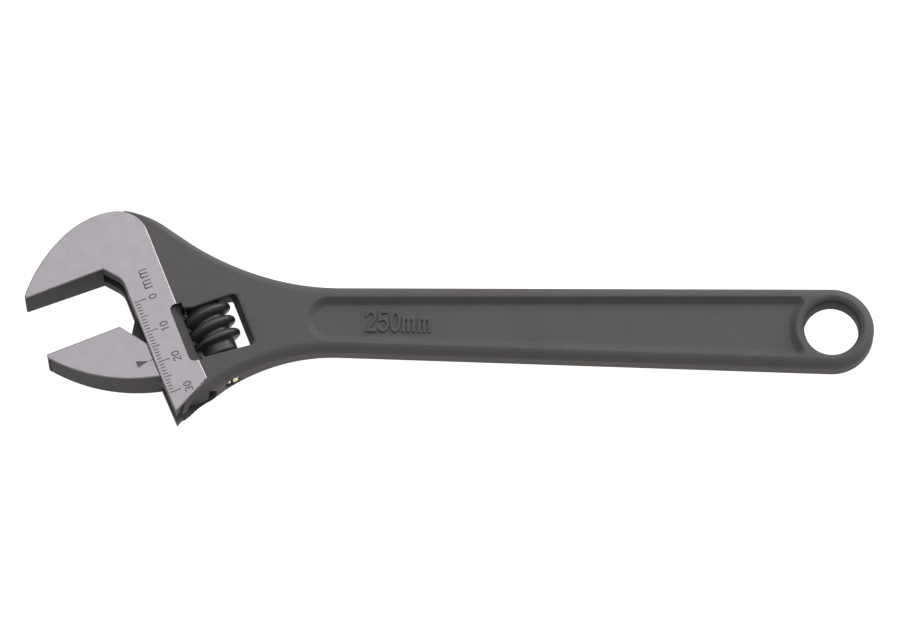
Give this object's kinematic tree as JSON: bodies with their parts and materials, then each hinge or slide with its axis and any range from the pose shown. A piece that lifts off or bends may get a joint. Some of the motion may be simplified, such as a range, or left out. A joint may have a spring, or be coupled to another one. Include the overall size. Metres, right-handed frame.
{
  "type": "adjustable wrench",
  "caption": "Adjustable wrench with a forged handle and fixed jaw, a sliding jaw on a rack, a thumb worm on its pin, a millimetre scale and a hanging hole.",
  "frame": {"origin": "centre of the hanging hole at mid thickness", "axes": "+X along the handle from the head to the hanging end, +Y to the fixed jaw's side, +Z out of the face that carries the scale"},
  "size_m": [0.2529, 0.0634, 0.0158],
  "materials": {
    "forged_steel": "forged, dark grey phosphate, matt",
    "ground_steel": "ground flat, satin",
    "worm_steel": "knurled, dark oiled",
    "spring_steel": "bright drawn wire",
    "zinc_plate": "yellow passivated zinc plate"
  },
  "bodies": {
    "handle": {"handle_body": "forged_steel", "worm_spring": "spring_steel", "worm_pin": "zinc_plate"},
    "jaw": {"movable_jaw": "ground_steel"},
    "thumb_worm": {"worm": "worm_steel"}
  },
  "joints": [
    {"name": "jaw_slide", "type": "slide", "parent": "handle", "child": "jaw", "axis": [0.3746, -0.9272, 0], "range_m": [-0.0184, 0.0115]},
    {"name": "worm_spin", "type": "hinge", "parent": "handle", "child": "thumb_worm", "pos_m": [-0.18437, -0.00287, 0], "axis": [0.3746, -0.9272, 0], "range_deg": [-963, 1541]}
  ],
  "couplings": [
    {"joint": "worm_spin", "follows": "jaw_slide", "rad_per_m": -1461.2}
  ]
}
